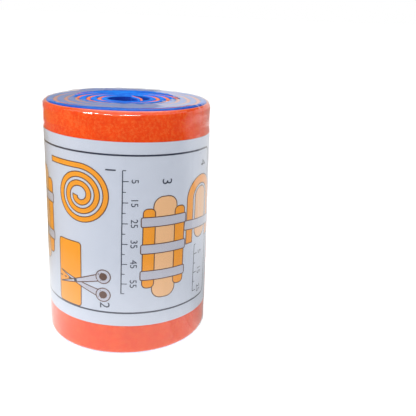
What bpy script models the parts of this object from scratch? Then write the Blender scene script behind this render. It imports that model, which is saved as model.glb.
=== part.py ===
"""Rolled foam splint, standing on its end in clear shrink film, with its instruction label.

The splint is one long flat strip of two foam layers, blue inside and orange outside,
wound into a spiral. A paper label lies round the roll, and a shrunk film holds the roll shut
and folds in over both ends. Metres, +Z up, origin at the middle of the base.
"""

import math

import bmesh
import bpy

TURN = 2 * math.pi

# The strip, as it is cut flat
STRIP_LENGTH = 0.9
STRIP_WIDTH = 0.108
STRIP_CORNER = 0.006
BLUE_FOAM = 0.0024
ORANGE_FOAM = 0.0015
CUT_EDGE = 0.0003
TAPER_LENGTH = 0.016
TAPERED_SHARE = 0.45

# The strip, as it is wound
HOLE_RADIUS = 0.0052
CLEARANCE = 0.00028
INNER_END_ANGLE = math.radians(-50)
FLAT_DISTANCE = 0.0027
FLAT_ANGLE = math.radians(8)
FLAT_EASE = 0.001
FOAM_SHOULDER = 0.0032

# The paper label
LABEL_LENGTH = 0.118
LABEL_HEIGHT = 0.081
LABEL_PAPER = 0.0002
LABEL_MIDDLE = math.radians(255.5)
LABEL_TILT = math.radians(-0.8)

# The shrink film
FILM = 0.00025
RIM_CURL = 0.0004
RIM_WIDTH = 0.0014
BASE_OPENING_TURN = math.radians(140)

# The film's opening: how far its edge is from the roll's middle, as a share of the roll's
# radius, and how high its curled edge stands, as a share of RIM_CURL
OPENING = (
    {"angle": 0, "reach": 0.600, "curl": 1.0},
    {"angle": 45, "reach": 0.655, "curl": 0.3},
    {"angle": 90, "reach": 0.660, "curl": 0.8},
    {"angle": 135, "reach": 0.640, "curl": 0.2},
    {"angle": 180, "reach": 0.580, "curl": 0.9},
    {"angle": 225, "reach": 0.535, "curl": 0.3},
    {"angle": 270, "reach": 0.500, "curl": 0.7},
    {"angle": 315, "reach": 0.545, "curl": 0.4},
)

# Across a foam layer, from its inner to its outer face: the share of its thickness, and
# whether the cut edge is softened there
LAYER_SECTION = (
    {"across": 0.0, "soft": 1},
    {"across": 0.2, "soft": 0},
    {"across": 0.5, "soft": 0},
    {"across": 0.8, "soft": 0},
    {"across": 1.0, "soft": 1},
)

# How finely round forms are cut up
FOAM_STEPS = 30
FILM_STEPS = 60
LABEL_STEPS = 30
SHOULDER_STEPS = 3
CORNER_STEPS = (0.0, 0.03, 0.12, 0.28, 0.5, 0.75, 1.0)

# What follows from the sizes above
PITCH = BLUE_FOAM + CLEARANCE + ORANGE_FOAM + CLEARANCE
FOAM_BASE = FILM + CLEARANCE
FOAM_TOP = FOAM_BASE + STRIP_WIDTH
ROLL_HEIGHT = FOAM_TOP + CLEARANCE + FILM
FILM_SHOULDER = FOAM_SHOULDER + CLEARANCE + FILM
FILM_OFFSET = CLEARANCE + LABEL_PAPER + CLEARANCE + FILM


def whole_winding():
    """The angle that the strip is wound through: its length is the spiral's, at its middle."""
    start = 2 * HOLE_RADIUS + PITCH
    turns = (math.sqrt(start**2 + 4 * PITCH * STRIP_LENGTH / math.pi) - start) / (2 * PITCH)
    return TURN * turns


WINDING = whole_winding()
OUTER_END_ANGLE = INNER_END_ANGLE + WINDING


def smooth(share):
    share = min(1.0, max(0.0, share))
    return share * share * (3 - 2 * share)


def strip_radius(wound):
    """Radius of the spiral's inner side where the strip has been wound through this angle.
    The stiff strip's first stretch stays flat, so it cuts the corner of the first turn."""
    wound_round = HOLE_RADIUS + PITCH * wound / TURN
    from_flat = INNER_END_ANGLE + wound - FLAT_ANGLE
    if abs(from_flat) >= TURN / 4:
        return wound_round
    flat = FLAT_DISTANCE / math.cos(from_flat)
    return (wound_round + flat - math.hypot(flat - wound_round, FLAT_EASE)) / 2


def along_strip(wound):
    """How far along the strip the inner end and the outer end are."""
    from_inner = wound * (HOLE_RADIUS + PITCH / 2)
    from_outer = (WINDING - wound) * (strip_radius(WINDING) + PITCH / 2)
    return from_inner, from_outer


def layer_faces(wound):
    """Radii of the layers' inner and outer faces. At its ends the strip is pressed thin: the
    inner end lies against the turn round it, and the outer end against the turn below it."""
    from_inner, from_outer = along_strip(wound)
    thin = smooth(min(from_inner, from_outer) / TAPER_LENGTH)
    share = TAPERED_SHARE + (1 - TAPERED_SHARE) * thin
    start = strip_radius(wound)
    if from_inner < from_outer:
        start += (BLUE_FOAM + ORANGE_FOAM) * (1 - share)
    core = start + BLUE_FOAM * share
    return {
        "blue_foam": (start, core),
        "orange_foam": (core + CLEARANCE, core + CLEARANCE + ORANGE_FOAM * share),
    }


def foam_outline(angle):
    """Radius of the bare roll of foam in this direction."""
    behind = (OUTER_END_ANGLE - angle) % TURN
    return layer_faces(WINDING - behind)["orange_foam"][1]


def wrapped_outline(angle):
    """Radius that a taut skin takes: from the strip's outer end it runs straight to the roll."""
    corner = foam_outline(OUTER_END_ANGLE)
    foot = layer_faces(WINDING - TURN)["orange_foam"][1]
    bridge = math.acos(foot / corner)
    past_end = (angle - OUTER_END_ANGLE) % TURN
    if past_end < bridge:
        return max(foam_outline(angle), foot / math.cos(bridge - past_end))
    return foam_outline(angle)


def film_angles():
    return [TURN * step / FILM_STEPS for step in range(FILM_STEPS + 1)]


def spiral_centre():
    """Where the spiral's middle lies, so that the wrapped roll's box is centred on the origin."""
    across = [(wrapped_outline(a) + FILM_OFFSET) * math.cos(a) for a in film_angles()]
    along = [(wrapped_outline(a) + FILM_OFFSET) * math.sin(a) for a in film_angles()]
    return -(max(across) + min(across)) / 2, -(max(along) + min(along)) / 2


CENTRE_X, CENTRE_Y = spiral_centre()


def around(angle, radius, height):
    """The point at this angle and radius about the spiral's middle."""
    return CENTRE_X + radius * math.cos(angle), CENTRE_Y + radius * math.sin(angle), height


def wound_angles():
    """Stations along the strip: even steps, with closer ones where its corners are rounded."""
    inner_rate = HOLE_RADIUS + PITCH / 2
    outer_rate = strip_radius(WINDING) + PITCH / 2
    first = [STRIP_CORNER * share / inner_rate for share in CORNER_STEPS]
    last = [WINDING - STRIP_CORNER * share / outer_rate for share in reversed(CORNER_STEPS)]
    step = TURN / FOAM_STEPS
    even = [step * index for index in range(1, int(WINDING / step) + 1)]
    middle = [a for a in even if first[-1] + step / 3 < a < last[0] - step / 3]
    return first + middle + last


def half_width(wound):
    """Half the strip's width, less where its ends have rounded corners."""
    into_corner = max(0.0, STRIP_CORNER - min(along_strip(wound)))
    return STRIP_WIDTH / 2 - STRIP_CORNER + math.sqrt(STRIP_CORNER**2 - into_corner**2)


def shoulder_drop(depth, wound):
    """How far the rounded rim of the roll lies below its end face, this deep in the last turn."""
    if wound < WINDING - TURN or depth >= FOAM_SHOULDER:
        return 0.0
    inwards = FOAM_SHOULDER - depth
    return FOAM_SHOULDER - math.sqrt(FOAM_SHOULDER**2 - inwards**2)


def new_object(name, bm, colour, roughness):
    """An object of this mesh, in the part's collection, with a material of its own."""
    mesh = bpy.data.meshes.new(name)
    bm.to_mesh(mesh)
    bm.free()
    mesh.shade_smooth()
    mesh.set_sharp_from_angle(angle=math.radians(35))
    material = bpy.data.materials.new(name)
    material.use_nodes = True
    shader = material.node_tree.nodes["Principled BSDF"]
    shader.inputs["Base Color"].default_value = (*colour, 1.0)
    shader.inputs["Roughness"].default_value = roughness
    shader.inputs["Metallic"].default_value = 0.0
    mesh.materials.append(material)
    made = bpy.data.objects.new(name, mesh)
    collection.objects.link(made)
    return made


def rolled_sheet(columns, rows, place):
    """A flat grid whose points are carried to place(column, row), with meeting edges joined."""
    bm = bmesh.new()
    bmesh.ops.create_grid(bm, x_segments=columns - 1, y_segments=rows - 1, size=0.5)
    for vertex in bm.verts:
        column = round((vertex.co.x + 0.5) * (columns - 1))
        row = round((vertex.co.y + 0.5) * (rows - 1))
        vertex.co = place(column, row)
    bmesh.ops.remove_doubles(bm, verts=bm.verts, dist=1e-6)
    return bm


def foam_layer(name, colour):
    """One foam layer of the wound strip: its section carried along the spiral, and capped."""
    stations = wound_angles()
    middle = (FOAM_BASE + FOAM_TOP) / 2
    upper = [(point, 1) for point in reversed(LAYER_SECTION)]
    lower = [(point, -1) for point in LAYER_SECTION]
    ring = lower + upper

    def place(column, row):
        wound = stations[column]
        point, side = ring[row % len(ring)]
        inner, outer = layer_faces(wound)[name]
        radius = inner + (outer - inner) * point["across"]
        surface = layer_faces(wound)["orange_foam"][1]
        drop = max(shoulder_drop(surface - radius, wound), CUT_EDGE * point["soft"])
        height = middle + side * (half_width(wound) - drop)
        return around(INNER_END_ANGLE + wound, radius, height)

    bm = rolled_sheet(len(stations), len(ring) + 1, place)
    bmesh.ops.holes_fill(bm, edges=[edge for edge in bm.edges if edge.is_boundary])
    bmesh.ops.recalc_face_normals(bm, faces=bm.faces)
    return new_object(name, bm, colour, 0.75)


def instruction_label():
    """The paper label: a flat rectangle laid round the roll, a little out of true."""
    def place(column, row):
        along = LABEL_LENGTH * (column / LABEL_STEPS - 0.5)
        up = LABEL_HEIGHT * (row - 0.5)
        round_roll = along * math.cos(LABEL_TILT) - up * math.sin(LABEL_TILT)
        raised = along * math.sin(LABEL_TILT) + up * math.cos(LABEL_TILT)
        angle = LABEL_MIDDLE + round_roll / wrapped_outline(LABEL_MIDDLE)
        radius = wrapped_outline(angle) + CLEARANCE + LABEL_PAPER
        return around(angle, radius, ROLL_HEIGHT / 2 + raised)

    bm = rolled_sheet(LABEL_STEPS + 1, 2, place)
    label = new_object("instruction_label", bm, (0.62, 0.65, 0.72), 0.5)
    paper = label.modifiers.new("paper", "SOLIDIFY")
    paper.thickness = LABEL_PAPER
    paper.offset = -1


def opening_at(angle, name):
    """The opening table's value in this direction, smoothly between its rows."""
    place = (angle % TURN) / TURN * len(OPENING)
    row = int(place)
    after = OPENING[(row + 1) % len(OPENING)][name]
    before = OPENING[row % len(OPENING)][name]
    return before + (after - before) * smooth(place - row)


def film_end(angle, opening_turn, curl):
    """Radius and depth below the end face, from the opening's edge out and over the shoulder."""
    edge = wrapped_outline(angle + math.pi) * opening_at(angle + opening_turn, "reach")
    centre = wrapped_outline(angle) + FILM_OFFSET - FILM_SHOULDER
    inner = edge + RIM_WIDTH
    rows = [
        (edge, -curl * opening_at(angle + opening_turn, "curl")),
        (inner, 0.0),
        ((inner + centre) / 2, 0.0),
    ]
    for step in range(SHOULDER_STEPS + 1):
        bend = TURN / 4 * step / SHOULDER_STEPS
        radius = centre + FILM_SHOULDER * math.sin(bend)
        rows.append((radius, FILM_SHOULDER * (1 - math.cos(bend))))
    return rows


def shrink_film():
    """The clear film: one skin down the side and in over both ends, open in the middle."""
    angles = film_angles()

    def section(angle):
        base = film_end(angle, BASE_OPENING_TURN, 0.0)
        top = [(radius, ROLL_HEIGHT - depth) for radius, depth in film_end(angle, 0.0, RIM_CURL)]
        return base + top[::-1]

    def place(column, row):
        angle = angles[column]
        return around(angle, *section(angle)[row])

    bm = rolled_sheet(len(angles), len(section(0.0)), place)
    film = new_object("shrink_film", bm, (0.85, 0.88, 0.92), 0.08)
    skin = film.modifiers.new("film", "SOLIDIFY")
    skin.thickness = FILM
    skin.offset = -1


for old in list(bpy.data.objects):
    bpy.data.objects.remove(old, do_unlink=True)
collection = bpy.data.collections.new("rolled_splint")
bpy.context.scene.collection.children.link(collection)

foam_layer("blue_foam", (0.01, 0.18, 0.68))
foam_layer("orange_foam", (0.90, 0.13, 0.02))
instruction_label()
shrink_film()
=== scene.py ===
import math

import bmesh
import bpy
from mathutils import Matrix, Vector, noise


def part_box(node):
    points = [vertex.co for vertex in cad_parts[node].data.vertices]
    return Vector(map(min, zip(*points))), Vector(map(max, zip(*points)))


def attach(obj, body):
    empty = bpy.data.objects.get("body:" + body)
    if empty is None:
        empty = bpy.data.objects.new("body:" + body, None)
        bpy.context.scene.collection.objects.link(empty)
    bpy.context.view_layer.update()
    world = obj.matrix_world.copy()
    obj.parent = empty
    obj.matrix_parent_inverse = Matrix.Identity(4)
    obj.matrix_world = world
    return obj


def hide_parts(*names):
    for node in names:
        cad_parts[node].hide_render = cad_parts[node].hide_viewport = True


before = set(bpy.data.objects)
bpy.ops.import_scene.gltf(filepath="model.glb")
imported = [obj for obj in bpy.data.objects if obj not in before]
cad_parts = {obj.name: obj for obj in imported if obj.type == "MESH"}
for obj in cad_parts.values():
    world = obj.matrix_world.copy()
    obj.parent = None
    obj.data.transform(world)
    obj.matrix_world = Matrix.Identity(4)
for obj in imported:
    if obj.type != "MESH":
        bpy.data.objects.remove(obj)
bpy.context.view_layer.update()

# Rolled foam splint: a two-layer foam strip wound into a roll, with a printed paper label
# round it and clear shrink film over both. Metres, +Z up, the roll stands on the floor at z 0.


# Blue foam: the inner layer of the splint, a long strip of skived closed-cell foam.
# It is cut flat with rounded corners, then wound from the hole outwards, six and a half
# turns. Its cut edge, which faces up, is a little domed and not quite flush from turn to turn.

TURN = 2 * math.pi
MM = 0.001
MERGE = 0.001 * MM

STRIP_LENGTH = 900 * MM
STRIP_CORNER = 6 * MM
BLUE_FOAM = 2.4 * MM
ORANGE_FOAM = 1.5 * MM
CLEARANCE = 0.28 * MM
PITCH = BLUE_FOAM + ORANGE_FOAM + 2 * CLEARANCE
TAPER_LENGTH = 16 * MM
TAPERED_SHARE = 0.45
HOLE_RADIUS = 5.2 * MM
INNER_END_ANGLE = math.radians(-50)
FLAT_DISTANCE = 2.7 * MM
FLAT_ANGLE = math.radians(8)
FLAT_EASE = 1 * MM
FOAM_SHOULDER = 3.2 * MM

# The soft foam fills the frame's clearance but for a thin nip, springs out a little in its
# film, is pressed oval on the left and more so at both ends, and settles at its foot.
NIP = 0.08 * MM
FOAM_SPRING = 1.017
FOAM_OVAL = 0.017
FOAM_FLARE = 0.016
OVAL_RADIUS = 20 * MM
BASE_SETTLE = 0.38 * MM

# The knife leaves the cut edge domed and wavy, with the orange layer a little set back. The
# film rounds over the outermost turn, which eases in over this many radians.
ORANGE_SETBACK = 0.28 * MM
EDGE_CROWN = 0.36 * MM
UNEVEN_EDGE = 0.2 * MM
UNEVEN_LENGTH = 34 * MM
LAST_TURN_EASE = 0.5
CUT_EDGE_FACING = 0.75

foam_low, foam_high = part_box("blue_foam")
foam_middle = (foam_low.z + foam_high.z) / 2
strip_width = foam_high.z - foam_low.z


def smooth(share):
    """Eases a share from 0 to 1, with level ends."""
    share = min(1.0, max(0.0, share))
    return share * share * (3 - 2 * share)


first_rate = HOLE_RADIUS + PITCH / 2
winding = (math.sqrt(first_rate**2 + PITCH * STRIP_LENGTH / math.pi) - first_rate) * TURN / PITCH
outer_end_angle = INNER_END_ANGLE + winding


def strip_radius(wound):
    """Radius of the spiral's inner side. The strip's first stretch stays flat."""
    wound_round = HOLE_RADIUS + PITCH * wound / TURN
    from_flat = INNER_END_ANGLE + wound - FLAT_ANGLE
    if abs(from_flat) >= TURN / 4:
        return wound_round
    flat = FLAT_DISTANCE / math.cos(from_flat)
    return (wound_round + flat - math.hypot(flat - wound_round, FLAT_EASE)) / 2


def along_strip(wound):
    """How far along the strip the inner end and the outer end are."""
    last_rate = strip_radius(winding) + PITCH / 2
    return wound * first_rate, (winding - wound) * last_rate


def layer_faces(wound):
    """Radii of both layers' inner and outer faces: the strip is pressed thin at its ends."""
    from_inner, from_outer = along_strip(wound)
    thin = smooth(min(from_inner, from_outer) / TAPER_LENGTH)
    share = TAPERED_SHARE + (1 - TAPERED_SHARE) * thin
    start = strip_radius(wound)
    if from_inner < from_outer:
        start += (BLUE_FOAM + ORANGE_FOAM) * (1 - share)
    core = start + BLUE_FOAM * share
    orange = core + CLEARANCE
    swell = CLEARANCE - NIP
    return {"blue": (start, core + swell), "orange": (orange, orange + ORANGE_FOAM * share + swell)}


def foam_outline(angle):
    """Radius of the bare roll of foam in this direction."""
    behind = (outer_end_angle - angle) % TURN
    return layer_faces(winding - behind)["orange"][1]


end_corner = foam_outline(outer_end_angle)
end_foot = layer_faces(winding - TURN)["orange"][1]
end_bridge = math.acos(end_foot / end_corner)


def wrapped_outline(angle):
    """Radius of a taut skin: from the strip's outer end it runs straight to the roll."""
    past_end = (angle - outer_end_angle) % TURN
    if past_end < end_bridge:
        return max(foam_outline(angle), end_foot / math.cos(end_bridge - past_end))
    return foam_outline(angle)


# The spiral's middle lies off the roll's own, so it is found from the box of the frame's film,
# which has the frame's label and a clearance between it and the foam.
FRAME_LABEL = 0.2 * MM
FRAME_FILM = 0.25 * MM
FILM_ROOM = CLEARANCE + NIP + FRAME_LABEL + FRAME_FILM
film_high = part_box("shrink_film")[1]
bearings = [math.radians(degree) for degree in range(360)]
centre_x = film_high.x - FILM_ROOM - max(wrapped_outline(a) * math.cos(a) for a in bearings)
centre_y = film_high.y - FILM_ROOM - max(wrapped_outline(a) * math.sin(a) for a in bearings)


def around(angle, radius, height):
    """The point at this angle and radius in the roll, which is sprung and a little oval."""
    oval = FOAM_OVAL + FOAM_FLARE * (height / foam_middle - 1) ** 2
    oval *= max(0.0, -math.cos(angle)) ** 2 * min(1.0, radius / OVAL_RADIUS)
    radius *= FOAM_SPRING + oval
    x = centre_x + radius * math.cos(angle)
    y = centre_y + radius * math.sin(angle)
    return Vector((x, y, height))


def ripple(place, length, seed):
    """Smooth noise from about -1 to 1, with waves of about this length."""
    return noise.noise(Vector(place) / length + Vector((seed, 7.3 * seed, 0.0)))


def rolled_sheet(columns, rows, place):
    """A flat grid carried to place(column share, row share), with any meeting edges joined."""
    bm = bmesh.new()
    bmesh.ops.create_grid(bm, x_segments=columns, y_segments=rows, size=0.5)
    for vertex in bm.verts:
        vertex.co = place(vertex.co.x + 0.5, vertex.co.y + 0.5)
    bmesh.ops.remove_doubles(bm, verts=bm.verts, dist=MERGE)
    return bm


def link(thing):
    """Puts a new object in the scene."""
    bpy.context.scene.collection.objects.link(thing)
    return thing


def new_piece(name, bm, materials, crease=40):
    """A piece of this mesh, smooth but for its creases, that rides with the roll."""
    mesh = bpy.data.meshes.new(name)
    bm.to_mesh(mesh)
    bm.free()
    mesh.shade_smooth()
    mesh.set_sharp_from_angle(angle=math.radians(crease))
    for material in materials:
        mesh.materials.append(material)
    piece = link(bpy.data.objects.new(name, mesh))
    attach(piece, "root")
    return piece


def foam_layer(layer, columns=760, across=8, up=10):
    """One layer of the wound strip: a ring of grid rows is its section, carried round the spiral."""
    ring = 2 * (across + up)

    def section(row):
        """This row's share of the layer's thickness, and its side of the strip's width."""
        if row < across:
            return row / across, -1.0
        if row < across + up:
            return 1.0, 2 * (row - across) / up - 1
        if row < 2 * across + up:
            return 1 - (row - across - up) / across, 1.0
        return 0.0, 1 - 2 * (row - 2 * across - up) / up

    def place(column, row):
        """The point this share of the way along the strip and round its section."""
        share, side = section(round(row * ring) % ring)
        wound = winding * column
        inner, outer = layer_faces(wound)[layer]
        radius = inner + (outer - inner) * share
        depth = layer_faces(wound)["orange"][1] - radius
        into_corner = max(0.0, STRIP_CORNER - min(along_strip(wound)))
        half = strip_width / 2 - STRIP_CORNER + math.sqrt(STRIP_CORNER**2 - into_corner**2)
        last_turn = smooth((wound - winding + TURN) / LAST_TURN_EASE + 0.5)
        inwards = max(0.0, FOAM_SHOULDER - depth) * last_turn
        half -= FOAM_SHOULDER - math.sqrt(FOAM_SHOULDER**2 - inwards**2)
        half -= EDGE_CROWN * abs(2 * share - 1) ** 3
        if layer == "orange":
            half -= ORANGE_SETBACK * (1 - last_turn)
        travelled = wound * (HOLE_RADIUS + PITCH * wound / TURN / 2)
        settle = min(0.0, side) * BASE_SETTLE
        lift = UNEVEN_EDGE * (ripple((travelled, 0, 0), UNEVEN_LENGTH, seed=3) - 0.5) * side
        height = foam_middle + side * half + lift * side * side + settle
        return around(INNER_END_ANGLE + wound, radius, height)

    bm = rolled_sheet(columns, ring, place)
    bmesh.ops.holes_fill(bm, edges=[edge for edge in bm.edges if edge.is_boundary])
    bmesh.ops.recalc_face_normals(bm, faces=bm.faces)
    bm.normal_update()
    for face in bm.faces:
        face.material_index = int(abs(face.normal.z) > CUT_EDGE_FACING)
    return bm


def colour(code):
    """A linear colour from its sRGB hex value."""
    parts = [int(code[i : i + 2], 16) / 255 for i in (1, 3, 5)]
    return tuple(p / 12.92 if p <= 0.04045 else ((p + 0.055) / 1.055) ** 2.4 for p in parts) + (1.0,)


def new_material(name):
    """An empty material, which add_node fills."""
    material = bpy.data.materials.new(name)
    material.use_nodes = True
    material.node_tree.nodes.clear()
    return material


def add_node(owner, kind, settings=None, links=None):
    """Adds a node to a material or the world, with its settings and what feeds its sockets."""
    node = owner.node_tree.nodes.new("ShaderNode" + kind)
    for name, value in (settings or {}).items():
        if isinstance(name, str) and name in node.bl_rna.properties:
            setattr(node, name, value)
        else:
            node.inputs[name].default_value = value
    for name, socket in (links or {}).items():
        owner.node_tree.links.new(socket, node.inputs[name])
    return node


# Cross-linked polyethylene foam: closed cells of about 0.35 mm, matt, with a faint sheen, and
# a dye that is uneven over a centimetre. Single cells are too fine to show, so they only
# roughen the surface, and the pale flecks are drawn coarser than they are, as clumps of cells.
FOAM_CELL = 0.35 * MM
FOAM_GRAIN = 1.2 * MM
FOAM_PATCH = 9 * MM


def foam_material(name, main, deep, light):
    """Closed-cell foam in one dye: cell grain, uneven dye and a soft matt skin."""
    material = new_material(name)
    place = add_node(material, "TexCoord").outputs["Object"]
    cells = add_node(
        material, "TexVoronoi",
        {"Scale": 1 / FOAM_CELL, "feature": "F1"}, {"Vector": place})
    patches = add_node(
        material, "TexNoise",
        {"Scale": 1 / FOAM_PATCH, "Detail": 4.0, "Roughness": 0.7}, {"Vector": place})
    grain = add_node(
        material, "TexNoise",
        {"Scale": 1 / FOAM_GRAIN, "Detail": 3.0, "Roughness": 0.65}, {"Vector": place})
    dye = add_node(
        material, "ValToRGB", {}, {"Fac": patches.outputs["Fac"]})
    dye.color_ramp.elements[0].position = 0.36
    dye.color_ramp.elements[0].color = colour(deep)
    dye.color_ramp.elements[1].position = 0.62
    dye.color_ramp.elements[1].color = colour(main)
    pits = add_node(
        material, "MapRange",
        {"From Min": 0.44, "From Max": 0.7, "To Min": 0.0, "To Max": 0.36},
        {"Value": grain.outputs["Fac"]})
    flecked = add_node(
        material, "Mix", {"data_type": "RGBA", 7: colour(light)},
        {0: pits.outputs["Result"], 6: dye.outputs["Color"]})
    cell_bump = add_node(
        material, "Bump", {"Strength": 0.35, "Distance": 0.08 * MM},
        {"Height": cells.outputs["Distance"]})
    skin_bump = add_node(
        material, "Bump", {"Strength": 0.4, "Distance": 0.15 * MM},
        {"Height": grain.outputs["Fac"], "Normal": cell_bump.outputs["Normal"]})
    shader = add_node(
        material, "BsdfPrincipled",
        {"Roughness": 0.78, "Specular IOR Level": 0.15, "Sheen Weight": 0.4,
         "Sheen Roughness": 0.4, "Sheen Tint": colour(light)},
        {"Base Color": flecked.outputs[2], "Normal": skin_bump.outputs["Normal"]})
    add_node(material, "OutputMaterial", {}, {"Surface": shader.outputs["BSDF"]})
    return material


# The skin is drawn a deeper blue than the cut edge: partly the foam's denser skin, and partly painted
# shade, since the skin shows mainly inside the hole and on the walls between the turns.
blue_materials = [
    foam_material("blue_polyethylene_foam", "#0C4CC4", "#0838B0", "#1E68D4"),
    foam_material("blue_polyethylene_foam_cut_edge", "#0F74DC", "#0A58CC", "#3094EA"),
]
blue_foam = new_piece("blue_foam_layer", foam_layer("blue"), blue_materials)
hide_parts("blue_foam")


# Orange foam: the outer layer of the same strip, laminated to the blue one over a thin sheet
# that doesn't show. It is a little thinner, and its smooth skin is the outside of the roll.

orange_materials = [
    foam_material("orange_polyethylene_foam", "#F94D00", "#F04100", "#FC8A3C"),
    foam_material("orange_polyethylene_foam_cut_edge", "#FC8048", "#F8703C", "#FFA47C"),
]
orange_foam = new_piece("orange_foam_layer", foam_layer("orange"), orange_materials)
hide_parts("orange_foam")


# Label: a sheet of coated paper, laid half round the roll by hand and so a little out of
# true. The film holds it down, and it waves faintly where the foam under it gives.

LABEL_LENGTH = 118 * MM
LABEL_HEIGHT = 81 * MM
PAPER_THICKNESS = 0.1 * MM
LABEL_MIDDLE = math.radians(255.5)
LABEL_TILT = math.radians(-1.1)
LABEL_RAISED = 0.9 * MM
PAPER_OUT = 0.2 * MM
PAPER_WAVE = 0.045 * MM
PAPER_WAVE_LENGTH = 16 * MM

roll_height = foam_low.z + foam_high.z
label_radius = wrapped_outline(LABEL_MIDDLE)


def on_label(along, up, proud):
    """The point of the roll under this place on the flat label, this far off the paper."""
    round_roll = along * math.cos(LABEL_TILT) - up * math.sin(LABEL_TILT)
    raised = along * math.sin(LABEL_TILT) + up * math.cos(LABEL_TILT)
    angle = LABEL_MIDDLE + round_roll / label_radius
    wave = PAPER_WAVE * ripple((along, up, 0), PAPER_WAVE_LENGTH, seed=11)
    radius = wrapped_outline(angle) + PAPER_OUT + wave + proud
    return around(angle, radius, roll_height / 2 + LABEL_RAISED + raised)


label_mesh = rolled_sheet(
    round(LABEL_LENGTH / MM), round(LABEL_HEIGHT / MM),
    lambda column, row: on_label(LABEL_LENGTH * (column - 0.5), LABEL_HEIGHT * (row - 0.5), 0))
bmesh.ops.solidify(label_mesh, geom=label_mesh.faces[:], thickness=PAPER_THICKNESS)

# Coated label paper: a smooth clay coat over pulp, cool white and half matt. The pulp mottles
# it over about 3 mm, and the coat's tooth, drawn at 0.4 mm, is coarser than the real one.
PULP_CLOUD = 3 * MM
COAT_TOOTH = 0.4 * MM

paper_material = new_material("coated_label_paper")
paper_place = add_node(paper_material, "TexCoord").outputs["Object"]
paper_pulp = add_node(
    paper_material, "TexNoise", {"Scale": 1 / PULP_CLOUD, "Detail": 5.0, "Roughness": 0.65},
    {"Vector": paper_place})
paper_tone = add_node(
    paper_material, "Mix", {"data_type": "RGBA", 6: colour("#CDD1DC"), 7: colour("#D6D9E3")},
    {0: paper_pulp.outputs["Fac"]})
paper_tooth = add_node(
    paper_material, "TexNoise", {"Scale": 1 / COAT_TOOTH, "Detail": 3.0}, {"Vector": paper_place})
paper_bump = add_node(
    paper_material, "Bump", {"Strength": 0.15, "Distance": 0.03 * MM},
    {"Height": paper_tooth.outputs["Fac"]})
paper_shader = add_node(
    paper_material, "BsdfPrincipled", {"Roughness": 0.42, "IOR": 1.5},
    {"Base Color": paper_tone.outputs[2], "Normal": paper_bump.outputs["Normal"]})
add_node(paper_material, "OutputMaterial", {}, {"Surface": paper_shader.outputs["BSDF"]})

label = new_piece("paper_label", label_mesh, [paper_material])
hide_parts("instruction_label")


# Print: the instruction drawings on the label, in offset ink. Each is a flat shape with a
# brown outline, laid a few hundredths of a millimetre over the paper and bent with it. The
# drawings are plain ones of how such a strip is cut, bent and strapped, with plain numbers.

FIRST_INK = 0.03 * MM
INK_LAYER = 0.012 * MM
FOLD_ALONG = 1.5 * MM
FOLD_UP = 3 * MM
OUTLINE = 0.42 * MM
FRAME_LINE = 0.75 * MM
FRAME_INSET = 5.4 * MM
FRAME_RAISED = 0.45 * MM
FRAME_CORNER = 3.5 * MM
PRINT_SCREEN = 0.5 * MM
DIGIT_SHARE = 0.72


def ink_material(name, code):
    """Offset ink on coated paper: flat, slightly glossy, its screen drawn coarser to show."""
    material = new_material(name)
    place = add_node(material, "TexCoord").outputs["Object"]
    screen = add_node(
        material, "TexNoise", {"Scale": 1 / PRINT_SCREEN, "Detail": 3.0}, {"Vector": place})
    level = add_node(
        material, "MapRange", {"To Min": 0.92, "To Max": 1.06}, {"Value": screen.outputs["Fac"]})
    tone = add_node(
        material, "HueSaturation", {"Color": colour(code)}, {"Value": level.outputs["Result"]})
    shader = add_node(
        material, "BsdfPrincipled", {"Roughness": 0.38, "IOR": 1.5},
        {"Base Color": tone.outputs["Color"]})
    add_node(material, "OutputMaterial", {}, {"Surface": shader.outputs["BSDF"]})
    return material


INKS = {
    "yellow": "#FFA418",
    "buff": "#F8C28C",
    "grey": "#C8C6D0",
    "brown": "#6A4636",
    "slate": "#3B3F52",
}
ink_names = list(INKS)
print_mesh = bmesh.new()


def plate(width, height, corner):
    """A flat rectangle with rounded corners, in millimetres."""
    shape = bmesh.new()
    bmesh.ops.create_grid(shape, x_segments=1, y_segments=1, size=0.5)
    bmesh.ops.scale(shape, vec=(width * MM, height * MM, 1), verts=shape.verts)
    bmesh.ops.bevel(
        shape, geom=shape.verts[:], offset=corner * MM, offset_type="OFFSET", segments=6,
        profile=0.5, affect="VERTICES", material=-1)
    return shape


def disc(radius):
    """A flat round plate, in millimetres."""
    shape = bmesh.new()
    bmesh.ops.create_circle(shape, cap_ends=True, segments=40, radius=radius * MM)
    return shape


def ribbon(path, half_width, steps):
    """A flat band along path(share), half_width(share) to each side, in millimetres."""
    shape = bmesh.new()
    bmesh.ops.create_grid(shape, x_segments=steps, y_segments=1, size=0.5)
    for vertex in shape.verts:
        share, side = vertex.co.x + 0.5, 2 * vertex.co.y
        before, after = Vector(path(share - 0.001)), Vector(path(share + 0.001))
        across = (after - before).normalized().orthogonal()
        vertex.co = ((before + after) / 2 + across * side * half_width(share)).to_3d() * MM
    return shape


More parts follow.
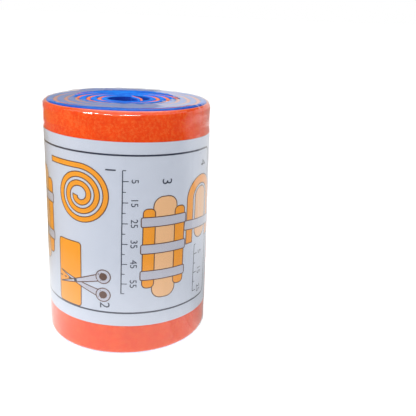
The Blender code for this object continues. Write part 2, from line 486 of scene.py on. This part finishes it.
def print_shape(shape, ink, layer, at=(0, 0), turned=0, outlined=True):
    """Prints a flat shape: outlined, turned, moved, and cut finely to bend with the paper."""
    rim = []
    if outlined:
        rim = bmesh.ops.inset_region(
            shape, faces=shape.faces[:], thickness=OUTLINE, use_boundary=True,
            use_even_offset=True)["faces"]
    for face in shape.faces:
        face.material_index = ink_names.index("brown" if face in rim else ink)
    turn = Matrix.Rotation(math.radians(turned), 3, "Z")
    bmesh.ops.rotate(shape, verts=shape.verts, cent=(0, 0, 0), matrix=turn)
    bmesh.ops.translate(shape, verts=shape.verts, vec=(at[0] * MM, at[1] * MM, 0))
    bmesh.ops.triangulate(shape, faces=shape.faces[:])
    for axis, step in ((0, FOLD_ALONG), (1, FOLD_UP)):
        places = [vertex.co[axis] for vertex in shape.verts]
        across_fold = Vector((1 - axis, axis, 0))
        for cut in range(math.ceil(min(places) / step), math.floor(max(places) / step) + 1):
            bmesh.ops.bisect_plane(
                shape, geom=shape.verts[:] + shape.edges[:] + shape.faces[:],
                dist=MERGE, plane_co=across_fold * cut * step, plane_no=across_fold)
    shape.normal_update()
    bmesh.ops.reverse_faces(shape, faces=[face for face in shape.faces if face.normal.z < 0])
    for vertex in shape.verts:
        vertex.co = on_label(vertex.co.x, vertex.co.y, FIRST_INK + layer * INK_LAYER)
    flat_data = bpy.data.meshes.new("shape")
    shape.to_mesh(flat_data)
    shape.free()
    print_mesh.from_mesh(flat_data)
    bpy.data.meshes.remove(flat_data)


def print_number(number, height, at):
    """A plain number that reads down the roll."""
    text = bpy.data.curves.new("number", "FONT")
    text.body = str(number)
    text.size = height / DIGIT_SHARE * MM
    text.align_x, text.align_y = "CENTER", "CENTER"
    holder = bpy.data.objects.new("number", text)
    letters = bpy.data.meshes.new_from_object(holder)
    shape = bmesh.new()
    shape.from_mesh(letters)
    bpy.data.objects.remove(holder)
    bpy.data.curves.remove(text)
    bpy.data.meshes.remove(letters)
    print_shape(shape, "slate", 1, at, turned=-90, outlined=False)


def print_strap(width, at, turned=0):
    """A pale band round what is under it."""
    print_shape(plate(width, height=4.6, corner=0.9), "grey", 3, at, turned)


def print_bar(at, height, bands):
    """A padded bar between two strips, strapped with pale bands."""
    strip_height = 0.78 * height
    print_shape(plate(width=11, height=height, corner=4.5), "buff", 1, at)
    for side in (-1, 1):
        strip = plate(width=5.5, height=strip_height, corner=2.2)
        print_shape(strip, "yellow", 2, (at[0] + side * 7, at[1]))
    for band in range(bands):
        up = at[1] + strip_height * ((band + 0.5) / bands - 0.5)
        print_strap(21, (at[0], up))


def print_roll(at):
    """The strip half unrolled, seen from its edge."""
    coil_turns = 2.75
    coil_pitch = 3.7
    coil_start = 2.2
    tail = 17.0
    coiled_share = 0.8

    def path(share):
        """The coil from its inner end, then the straight tail."""
        coiled = min(share / coiled_share, 1.0)
        angle = TURN * coil_turns * coiled
        radius = coil_start + coil_pitch * coil_turns * coiled
        straight = tail * max(0.0, share - coiled_share) / (1 - coiled_share)
        return (
            radius * math.cos(angle) - straight * math.sin(angle),
            radius * math.sin(angle) + straight * math.cos(angle))

    print_shape(ribbon(path, lambda share: 1.35, 150), "yellow", 1, at, turned=180)


def print_bend(at):
    """The strip bent double round a soft core, with one band."""
    reach = 8.0
    leg = 20.0

    def path(share):
        """Up one leg, round the bend and down the other leg."""
        length = (2 * leg + math.pi * reach) * share
        if length < leg:
            return -reach, length - leg
        if length > leg + math.pi * reach:
            return reach, leg + math.pi * reach - length
        angle = (length - leg) / reach
        return -reach * math.cos(angle), reach * math.sin(angle)

    print_shape(plate(width=9.5, height=24, corner=4.5), "buff", 1, (at[0], at[1] - 7))
    print_shape(ribbon(path, lambda share: 2.2, 60), "yellow", 2, at)
    print_strap(23, (at[0], at[1] - 12), turned=-5)


def print_cut(at):
    """Scissors over the strip, at the dashed mark where it is cut."""
    pivot_x, pivot_y = at[0] + 3, at[1] - 3
    print_shape(plate(width=13, height=30, corner=1.6), "yellow", 1, (at[0] - 4, at[1]))
    for dash in range(5):
        mark = plate(width=1.5, height=0.5, corner=0.1)
        print_shape(mark, "slate", 2, (at[0] - 9.2 + 2.6 * dash, pivot_y), outlined=False)
    for side in (-1, 1):
        blade = ribbon(
            lambda share: (9.5 - 22 * share, side * (4.2 - 7 * share)),
            lambda share: 1.9 * (1 - 0.85 * share), 14)
        print_shape(blade, "grey", 4 + side, (pivot_x, pivot_y))
        print_shape(disc(3.3), "grey", 4 + side, (pivot_x + 9.5, pivot_y + side * 4.2))
        print_shape(disc(1.7), "brown", 6, (pivot_x + 9.5, pivot_y + side * 4.2))
    print_shape(disc(0.8), "slate", 6, (pivot_x - 3.7, pivot_y), outlined=False)


def print_scale(at, marks, spacing=4.5):
    """A length scale with plain numbers, which reads down the roll."""
    length = spacing * marks
    print_shape(plate(width=0.4, height=length, corner=0.05), "slate", 1, at, outlined=False)
    for mark in range(marks + 1):
        up = at[1] + length / 2 - spacing * mark
        tick = 1.4 + mark % 2
        line = plate(width=tick, height=0.35, corner=0.05)
        print_shape(line, "slate", 1, (at[0] + tick / 2, up), outlined=False)
        if mark % 2:
            print_number(5 * mark, 2.9, (at[0] + 4.8, up))


frame_size = (LABEL_LENGTH - 2 * FRAME_INSET, LABEL_HEIGHT - 2 * FRAME_INSET)
frame_line = plate(frame_size[0] / MM, frame_size[1] / MM, FRAME_CORNER / MM)
inside = frame_line.faces[:]
bmesh.ops.inset_region(frame_line, faces=inside, thickness=FRAME_LINE, use_boundary=True)
bmesh.ops.delete(frame_line, geom=inside, context="FACES")
print_shape(frame_line, "slate", 1, (0, FRAME_RAISED / MM), outlined=False)

# What each drawing shows, and where its middle is on the flat label, in millimetres.
STEP_NUMBER = 4.4
print_bar(at=(-38, 3), height=44, bands=2)
print_roll(at=(-11, 17))
print_number(1, STEP_NUMBER, at=(2, 29))
print_cut(at=(-13, -19))
print_number(2, STEP_NUMBER, at=(0, -31))
print_scale(at=(7, 2), marks=12)
print_bar(at=(25, -5), height=46, bands=3)
print_number(3, STEP_NUMBER, at=(25, 24))
print_bend(at=(46, 14))
print_scale(at=(42, -19), marks=5)
print_number(4, STEP_NUMBER, at=(47, 29))

ink_materials = [ink_material(name + "_offset_ink", code) for name, code in INKS.items()]
new_piece("label_print", print_mesh, ink_materials)


# Shrink film: clear film shrunk by heat round the roll and in over both ends, where it
# leaves an uneven round opening. It is tight on the side, puckers over the shoulders and
# waves a little on the ends.

FILM_WALL = 0.05 * MM
FILM_SHOULDER = FOAM_SHOULDER + 0.1 * MM
FILM_STEPS = 300
FILM_LIFT = 0.14 * MM
FILM_OVER_LABEL = 0.22 * MM
LABEL_EDGE_EASE = 3 * MM
RIM_CURL = 0.3 * MM
FILM_WAVE = 0.05 * MM
FILM_WAVE_LENGTH = 9 * MM
FINE_WAVE = 0.02 * MM
FINE_WAVE_LENGTH = 3 * MM
TUCK_RISE = 0.12 * MM
TUCK_LENGTH = 4.5 * MM
SHOULDER_PUCKER = 0.07 * MM
RIM_PUCKER = 0.14 * MM
PUCKER_MIDDLE = 1 * MM
PUCKER_REACH = 3 * MM

# The length of each of these waves round the roll is in radians.
PUCKER_ANGLE = 0.09
FINE_PUCKER_ANGLE = 0.04
RIM_JAG = 0.012
RIM_JAG_ANGLE = 0.12
RIM_CURL_ANGLE = 0.2
BASE_RIPPLES = 5

# Shares of the way from the shoulder to the opening at which these start.
RIM_PUCKER_START = 0.5
PLEAT_START = 0.72
RIM_CURL_START = 0.92

SEAM_ANGLE = math.radians(-38)
SEAM_WIDTH = 5 * MM
SEAM_EASE = 0.9 * MM
SEAM_RISE = 0.09 * MM
PLEAT_ANGLE = math.radians(-2)
PLEAT_WIDTH = math.radians(5)
PLEAT_RISE = 1.0 * MM
CREASE_WIDTH = 0.8 * MM

# Small tension creases, mostly beside the label: each runs from one place on the side to
# another, in degrees and millimetres up, and its rise is in millimetres.
CREASES = (
    {"angle": -44, "height": 90, "to_angle": -25, "to_height": 84, "rise": 0.42},
    {"angle": -42, "height": 80, "to_angle": -34, "to_height": 66, "rise": 0.34},
    {"angle": -36, "height": 68, "to_angle": -33, "to_height": 54, "rise": 0.30},
    {"angle": -45, "height": 99, "to_angle": -33, "to_height": 97, "rise": 0.22},
    {"angle": -160, "height": 101, "to_angle": -148, "to_height": 92, "rise": 0.20},
    {"angle": 60, "height": 88, "to_angle": 84, "to_height": 70, "rise": 0.18},
    {"angle": 96, "height": 40, "to_angle": 118, "to_height": 22, "rise": 0.16},
    {"angle": 150, "height": 75, "to_angle": 172, "to_height": 82, "rise": 0.16},
)

# How far the opening reaches every 45 degrees round from +X, as shares of the roll's radius.
# The opening at the base is like the one on top, turned.
OPENING_REACH = (0.600, 0.655, 0.660, 0.640, 0.580, 0.535, 0.500, 0.545)
BASE_OPENING_TURN = math.radians(140)

film_top = foam_high.z + FILM_LIFT


def opening_reach(angle):
    """How far the opening's edge is from the middle, as a share of the roll's radius."""
    place = (angle % TURN) / TURN * len(OPENING_REACH)
    row = int(place)
    before = OPENING_REACH[row % len(OPENING_REACH)]
    after = OPENING_REACH[(row + 1) % len(OPENING_REACH)]
    jagged = RIM_JAG * ripple((math.cos(angle), math.sin(angle), 0), RIM_JAG_ANGLE, seed=5)
    return before + (after - before) * smooth(place - row) + jagged


def over_label(angle, height):
    """1 where the film lies on the label, 0 where it lies on the foam."""
    from_middle = ((angle - LABEL_MIDDLE + math.pi) % TURN - math.pi) * label_radius
    raised = height - roll_height / 2 - LABEL_RAISED - LABEL_TILT * from_middle
    beside = LABEL_LENGTH / 2 - abs(from_middle)
    above = LABEL_HEIGHT / 2 - abs(raised)
    return smooth((min(beside, above) + LABEL_EDGE_EASE) / LABEL_EDGE_EASE)


def on_side(angle, height):
    """A place on the film's side, laid flat."""
    return Vector((angle * label_radius, height))


def creased(angle, height):
    """How far the small tension creases lift the film here."""
    lift = 0.0
    for crease in CREASES:
        start = on_side(math.radians(crease["angle"]), crease["height"] * MM)
        along = on_side(math.radians(crease["to_angle"]), crease["to_height"] * MM) - start
        here = on_side(angle, height) - start
        share = min(1.0, max(0.0, here.dot(along) / along.length_squared))
        beside = (here - along * share).length / CREASE_WIDTH
        if beside < 3:
            lift += crease["rise"] * MM * math.exp(-beside * beside) * (1 - (2 * share - 1) ** 2)
    return lift


# The film starts as a plain drum with open ends, which is then drawn to the roll.
DRUM_WALL = 37 * MM
DRUM_EDGE = 20 * MM
HAIR = 0.1 * MM
film_mesh = bmesh.new()
profile = [
    film_mesh.verts.new((radius, 0, height))
    for radius, height in (
        (DRUM_EDGE, 0), (DRUM_WALL, 0), (DRUM_WALL, film_top), (DRUM_EDGE, film_top))]
edges = [film_mesh.edges.new(pair) for pair in zip(profile, profile[1:])]
bmesh.ops.spin(
    film_mesh, geom=profile + edges, axis=(0, 0, 1), cent=(0, 0, 0), angle=TURN,
    steps=FILM_STEPS, use_merge=True)
bmesh.ops.remove_doubles(film_mesh, verts=film_mesh.verts, dist=MERGE)


def flat_radius(vertex):
    """How far a vertex is from the drum's axis."""
    return math.hypot(vertex.co.x, vertex.co.y)


def edge_rise(edge):
    """How far an edge runs up the drum."""
    return abs(edge.verts[0].co.z - edge.verts[1].co.z)


def edge_reach(edge):
    """How far an edge runs out from the drum's axis."""
    return abs(flat_radius(edge.verts[0]) - flat_radius(edge.verts[1]))


corners = [
    edge for edge in film_mesh.edges
    if edge_rise(edge) < HAIR and edge_reach(edge) < HAIR
    and flat_radius(edge.verts[0]) > DRUM_WALL - HAIR]
bmesh.ops.bevel(
    film_mesh, geom=corners, offset=FILM_SHOULDER, offset_type="OFFSET", segments=10,
    profile=0.5, affect="EDGES", material=-1)
walls = [edge for edge in film_mesh.edges if edge_rise(edge) > roll_height / 2]
bmesh.ops.subdivide_edges(film_mesh, edges=walls, cuts=64, use_grid_fill=True)
ends = [edge for edge in film_mesh.edges if edge_reach(edge) > FILM_SHOULDER]
bmesh.ops.subdivide_edges(film_mesh, edges=ends, cuts=21, use_grid_fill=True)
bmesh.ops.recalc_face_normals(film_mesh, faces=film_mesh.faces)
film_mesh.normal_update()


def shrunk(vertex):
    """Where heat draws this vertex of the drum: taut on the side, puckered at the ends."""
    angle = math.atan2(vertex.co.y, vertex.co.x)
    radius, height = flat_radius(vertex), vertex.co.z
    on_top = height > roll_height / 2
    wall = wrapped_outline(angle) + FILM_LIFT
    shoulder_start = DRUM_WALL - FILM_SHOULDER
    across = max(0.0, (shoulder_start - radius) / (shoulder_start - DRUM_EDGE))
    turned = angle if on_top else angle + BASE_OPENING_TURN
    # Measured over the roll's far side, the opening sits off the spiral's middle.
    rim = wrapped_outline(angle + math.pi) * opening_reach(turned)
    if across > 0:
        new_radius = wall - FILM_SHOULDER + (rim - wall + FILM_SHOULDER) * across
    else:
        new_radius = wall + radius - DRUM_WALL + FILM_OVER_LABEL * over_label(angle, height)
    place = around(angle, new_radius, height)
    round_place = (math.cos(angle), math.sin(angle), 0 if on_top else BASE_RIPPLES)
    off_end = min(height, film_top - height)
    on_shoulder = math.exp(-((off_end - PUCKER_MIDDLE) / PUCKER_REACH) ** 2) * (1 - smooth(2 * across))
    near_rim = smooth((across - RIM_PUCKER_START) / (1 - RIM_PUCKER_START))
    pucker = 0.5 + ripple(round_place, PUCKER_ANGLE, seed=2)
    pucker += 0.5 * ripple(round_place, FINE_PUCKER_ANGLE, seed=4)
    proud = FILM_WAVE * (1 + ripple(place, FILM_WAVE_LENGTH, seed=8))
    proud += FINE_WAVE * ripple(place, FINE_WAVE_LENGTH, seed=9)
    proud += TUCK_RISE * (1 + ripple(place, TUCK_LENGTH, seed=13)) * on_shoulder
    proud += pucker * (SHOULDER_PUCKER * on_shoulder + RIM_PUCKER * near_rim)
    at_rim = smooth((across - RIM_CURL_START) / (1 - RIM_CURL_START))
    proud += RIM_CURL * at_rim * (1 + ripple(round_place, RIM_CURL_ANGLE, seed=6))
    if across == 0:
        proud += creased(angle, height)
        off_seam = abs(angle - SEAM_ANGLE) * label_radius
        proud += SEAM_RISE * smooth((SEAM_WIDTH / 2 - off_seam) / SEAM_EASE + 0.5)
    elif on_top:
        off_pleat = (angle - PLEAT_ANGLE) / PLEAT_WIDTH
        in_pleat = smooth((across - PLEAT_START) / (1 - PLEAT_START))
        proud += PLEAT_RISE * math.exp(-off_pleat * off_pleat) * in_pleat
    drawn = place + vertex.normal * proud
    drawn.z = max(drawn.z, FILM_WALL)
    return drawn


for vertex in film_mesh.verts:
    vertex.co = shrunk(vertex)
bmesh.ops.solidify(film_mesh, geom=film_mesh.faces[:], thickness=FILM_WALL)

# Polyolefin shrink film: blown, clear, glossy, with a shallow ripple of about 5 mm left by the
# heat and a finer unevenness. Both of its faces reflect, which makes 2 F / (1 + F) of the
# light where one face reflects F, and here the front face stands for the two.
HEAT_RIPPLE = 5 * MM
FINE_UNEVENNESS = 1.1 * MM

film_material = new_material("clear_polyolefin_film")
film_place = add_node(film_material, "TexCoord").outputs["Object"]
film_ripple = add_node(
    film_material, "TexNoise", {"Scale": 1 / HEAT_RIPPLE, "Detail": 2.0, "Roughness": 0.5},
    {"Vector": film_place})
film_uneven = add_node(
    film_material, "TexNoise", {"Scale": 1 / FINE_UNEVENNESS, "Detail": 3.0, "Roughness": 0.6},
    {"Vector": film_place})
film_wave = add_node(
    film_material, "Bump", {"Strength": 0.25, "Distance": 0.1 * MM},
    {"Height": film_ripple.outputs["Fac"]})
film_bump = add_node(
    film_material, "Bump", {"Strength": 0.12, "Distance": 0.05 * MM},
    {"Height": film_uneven.outputs["Fac"], "Normal": film_wave.outputs["Normal"]})
film_fresnel = add_node(film_material, "Fresnel", {"IOR": 1.5})
film_twice = add_node(
    film_material, "Math", {"operation": "MULTIPLY", 1: 2.0}, {0: film_fresnel.outputs["Fac"]})
film_passes = add_node(
    film_material, "Math", {"operation": "ADD", 1: 1.0}, {0: film_fresnel.outputs["Fac"]})
film_both = add_node(
    film_material, "Math", {"operation": "DIVIDE"},
    {0: film_twice.outputs["Value"], 1: film_passes.outputs["Value"]})
film_facing = add_node(film_material, "NewGeometry")
film_front = add_node(
    film_material, "Math", {"operation": "SUBTRACT", 0: 1.0},
    {1: film_facing.outputs["Backfacing"]})
film_share = add_node(
    film_material, "Math", {"operation": "MULTIPLY"},
    {0: film_both.outputs["Value"], 1: film_front.outputs["Value"]})
film_clear = add_node(film_material, "BsdfTransparent", {"Color": colour("#FCFDFE")})
film_gloss = add_node(
    film_material, "BsdfAnisotropic", {"Roughness": 0.07, "Color": colour("#FFFFFF")},
    {"Normal": film_bump.outputs["Normal"]})
film_mix = add_node(
    film_material, "MixShader", {},
    {0: film_share.outputs["Value"], 1: film_clear.outputs["BSDF"], 2: film_gloss.outputs["BSDF"]})
add_node(film_material, "OutputMaterial", {}, {"Surface": film_mix.outputs["Shader"]})

film = new_piece("clear_shrink_film", film_mesh, [film_material])
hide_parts("shrink_film")


# Floor, lights and camera: a plain pale sweep, soft light from above and from the left, and
# the camera at the photo's viewing angle.

FLOOR_SIZE = 60.0

floor_mesh = bmesh.new()
bmesh.ops.create_grid(floor_mesh, x_segments=2, y_segments=2, size=FLOOR_SIZE)
floor_data = bpy.data.meshes.new("floor")
floor_mesh.to_mesh(floor_data)
floor_mesh.free()
link(bpy.data.objects.new("floor", floor_data))
floor_material = new_material("matt_white_paper_sweep")
floor_shader = add_node(
    floor_material, "BsdfPrincipled",
    {"Base Color": colour("#8C8C8C"), "Roughness": 0.9, "Emission Color": colour("#FFFFFF"),
     "Emission Strength": 0.9})
add_node(floor_material, "OutputMaterial", {}, {"Surface": floor_shader.outputs["BSDF"]})
floor_data.materials.append(floor_material)

SUNS = (
    {"name": "soft_overhead", "energy": 2.0, "spread": 50, "towards": (0.24, 0.20, -1)},
    {"name": "left_fill", "energy": 1.0, "spread": 60, "towards": (0.96, 0.2, -0.36)},
)
for light in SUNS:
    sun_data = bpy.data.lights.new(light["name"], "SUN")
    sun_data.energy = light["energy"]
    sun_data.angle = math.radians(light["spread"])
    sun = link(bpy.data.objects.new(light["name"], sun_data))
    sun.rotation_euler = Vector(light["towards"]).to_track_quat("-Z", "Y").to_euler()
    sun.visible_glossy = False

# The room's white light is weaker than the white backdrop that the camera sees.
world = bpy.data.worlds.new("white_room")
world.use_nodes = True
world.node_tree.nodes.clear()
room = add_node(world, "Background", {"Color": colour("#FFFFFF"), "Strength": 0.67})
backdrop = add_node(world, "Background", {"Color": colour("#FFFFFF"), "Strength": 1.0})
seen = add_node(world, "LightPath")
either = add_node(
    world, "MixShader", {},
    {0: seen.outputs["Is Camera Ray"], 1: room.outputs[0], 2: backdrop.outputs[0]})
add_node(world, "OutputWorld", {}, {"Surface": either.outputs["Shader"]})
bpy.context.scene.world = world
bpy.context.scene.view_settings.view_transform = "Standard"

# The cards round the roll have faces 2 degrees wide, so each runs between even degrees. A
# floor card fades from its close glow to its far one between these distances from the roll.
ROOM_RADIUS = 0.62
ROOM_HEIGHT = 0.36
CEILING = 0.9
CARD_FACES = 180
FADE_START = 0.05
FADE_END = 0.16


def room_card(
        name, glow, first, last, low=0.0, high=ROOM_HEIGHT, near=ROOM_RADIUS, close_glow=None,
        tint="#FFFFFF"):
    """A card of the room that only reflections see, from azimuth first to last about -Y."""
    mesh = bmesh.new()
    bmesh.ops.create_cone(
        mesh, cap_ends=False, segments=CARD_FACES, radius1=near, radius2=ROOM_RADIUS,
        depth=high - low)
    bmesh.ops.translate(mesh, verts=mesh.verts, vec=(0, 0, (low + high) / 2))
    outside = []
    for face in mesh.faces:
        middle = face.calc_center_median()
        if not first < math.degrees(math.atan2(middle.x, -middle.y)) < last:
            outside.append(face)
    bmesh.ops.delete(mesh, geom=outside, context="FACES")
    data = bpy.data.meshes.new(name)
    mesh.to_mesh(data)
    mesh.free()
    card = link(bpy.data.objects.new(name, data))
    card.visible_camera = False
    card.visible_diffuse = False
    card.visible_shadow = False
    card.visible_transmission = False
    material = new_material(name + "_card")
    shader = add_node(material, "Emission", {"Color": colour(tint), "Strength": glow})
    if close_glow is not None:
        place = add_node(material, "TexCoord").outputs["Object"]
        away = add_node(material, "VectorMath", {"operation": "LENGTH"}, {0: place})
        share = add_node(
            material, "MapRange",
            {"interpolation_type": "SMOOTHSTEP", "From Min": FADE_START, "From Max": FADE_END},
            {"Value": away.outputs["Value"]})
        ratio = close_glow / glow
        fade = add_node(
            material, "Mix", {"data_type": "RGBA", 6: (ratio, ratio, ratio, 1.0), 7: colour(tint)},
            {0: share.outputs["Result"]})
        material.node_tree.links.new(fade.outputs[2], shader.inputs["Color"])
    add_node(material, "OutputMaterial", {}, {"Surface": shader.outputs["Emission"]})
    data.materials.append(material)


# What the film reflects: a dark room with a pale floor, warm on the left, dim walls, a window
# on the right and a strip light over the camera. Each floor row is a slice of the floor.
WARM = "#FFD890"
WHITE = "#FFFFFF"
FLOOR_ROWS = (
    {"from": -150, "to": -90, "far": 0.30, "close": 1.05, "tint": WARM},
    {"from": -90, "to": -80, "far": 0.32, "close": 1.15, "tint": WARM},
    {"from": -80, "to": -70, "far": 0.26, "close": 1.20, "tint": WARM},
    {"from": -70, "to": -60, "far": 0.20, "close": 1.25, "tint": WARM},
    {"from": -60, "to": -50, "far": 0.14, "close": 1.25, "tint": WARM},
    {"from": -50, "to": -40, "far": 0.08, "close": 1.25, "tint": WARM},
    {"from": -40, "to": 40, "far": 0.03, "close": 1.25, "tint": WHITE},
    {"from": 40, "to": 60, "far": 0.04, "close": 1.00, "tint": WHITE},
    {"from": 60, "to": 70, "far": 0.08, "close": 0.80, "tint": WHITE},
    {"from": 70, "to": 74, "far": 0.14, "close": 0.66, "tint": WHITE},
    {"from": 74, "to": 78, "far": 0.24, "close": 0.56, "tint": WHITE},
    {"from": 78, "to": 82, "far": 0.36, "close": 0.48, "tint": WHITE},
    {"from": 82, "to": 86, "far": 0.50, "close": 0.44, "tint": WHITE},
    {"from": 86, "to": 90, "far": 0.62, "close": 0.42, "tint": WHITE},
    {"from": 90, "to": 150, "far": 0.85, "close": 0.42, "tint": WHITE},
)
for index, row in enumerate(FLOOR_ROWS):
    room_card(
        f"floor_{index}", row["far"], row["from"], row["to"], low=0.5 * MM, high=1 * MM,
        near=20 * MM, close_glow=row["close"], tint=row["tint"])
room_card("dark_room", 0.02, -50, 78)
for step in range(8):
    room_card(f"left_wall_{step}", 0.02 + 0.025 * step, -50 - 12 * (step + 1), -50 - 12 * step)
room_card("dim_wall", 0.4, -180, -146, low=0.1)
for step in range(4):
    room_card(f"window_frame_{step}", 0.15 * (step + 1), 78 + 4 * step, 82 + 4 * step)
room_card("low_window", 0.45, 94, 150, high=0.1)
room_card("window", 0.75, 94, 176, low=0.1)
room_card("dim_wall_end", 0.4, 176, 180, low=0.1)
room_card("strip_light_1", 60.0, -60, -38, low=0.37, high=0.41)
room_card("strip_light_2", 60.0, -30, -20, low=0.33, high=0.37)
room_card("strip_light_3", 60.0, -8, 18, low=0.37, high=0.41)
room_card("ceiling_front", 1.5, -90, 90, low=CEILING, high=CEILING + MM, near=10 * MM)
for name, first, last in (("right", 90, 180), ("left", -180, -90)):
    room_card("dim_ceiling_" + name, 0.35, first, last, low=CEILING, high=CEILING + MM, near=10 * MM)
    room_card("dark_back_" + name, 0.12, first, last, low=ROOM_HEIGHT, high=CEILING)

# The camera, fitted to the roll's outline: it looks down, a little to the right, and leans.
FOCAL_PIXELS = 606.3
FRAME_PIXELS = 416
SENSOR_WIDTH = 36
CAMERA_PLACE = Vector((0, -0.2755, 0.14409))
yaw = math.radians(7.75)
pitch = math.radians(17.48)
lean = math.radians(2.19)
ahead = Vector((math.sin(yaw) * math.cos(pitch), math.cos(yaw) * math.cos(pitch), -math.sin(pitch)))
right = Vector((math.cos(yaw), -math.sin(yaw), 0))
up = right.cross(ahead)
camera = link(bpy.data.objects.new("camera", bpy.data.cameras.new("camera")))
camera.data.sensor_width = SENSOR_WIDTH
camera.data.lens = FOCAL_PIXELS * SENSOR_WIDTH / FRAME_PIXELS
camera_axes = Matrix((
    right * math.cos(lean) + up * math.sin(lean),
    up * math.cos(lean) - right * math.sin(lean),
    -ahead)).transposed()
camera.matrix_world = Matrix.Translation(CAMERA_PLACE) @ camera_axes.to_4x4()
bpy.context.scene.camera = camera
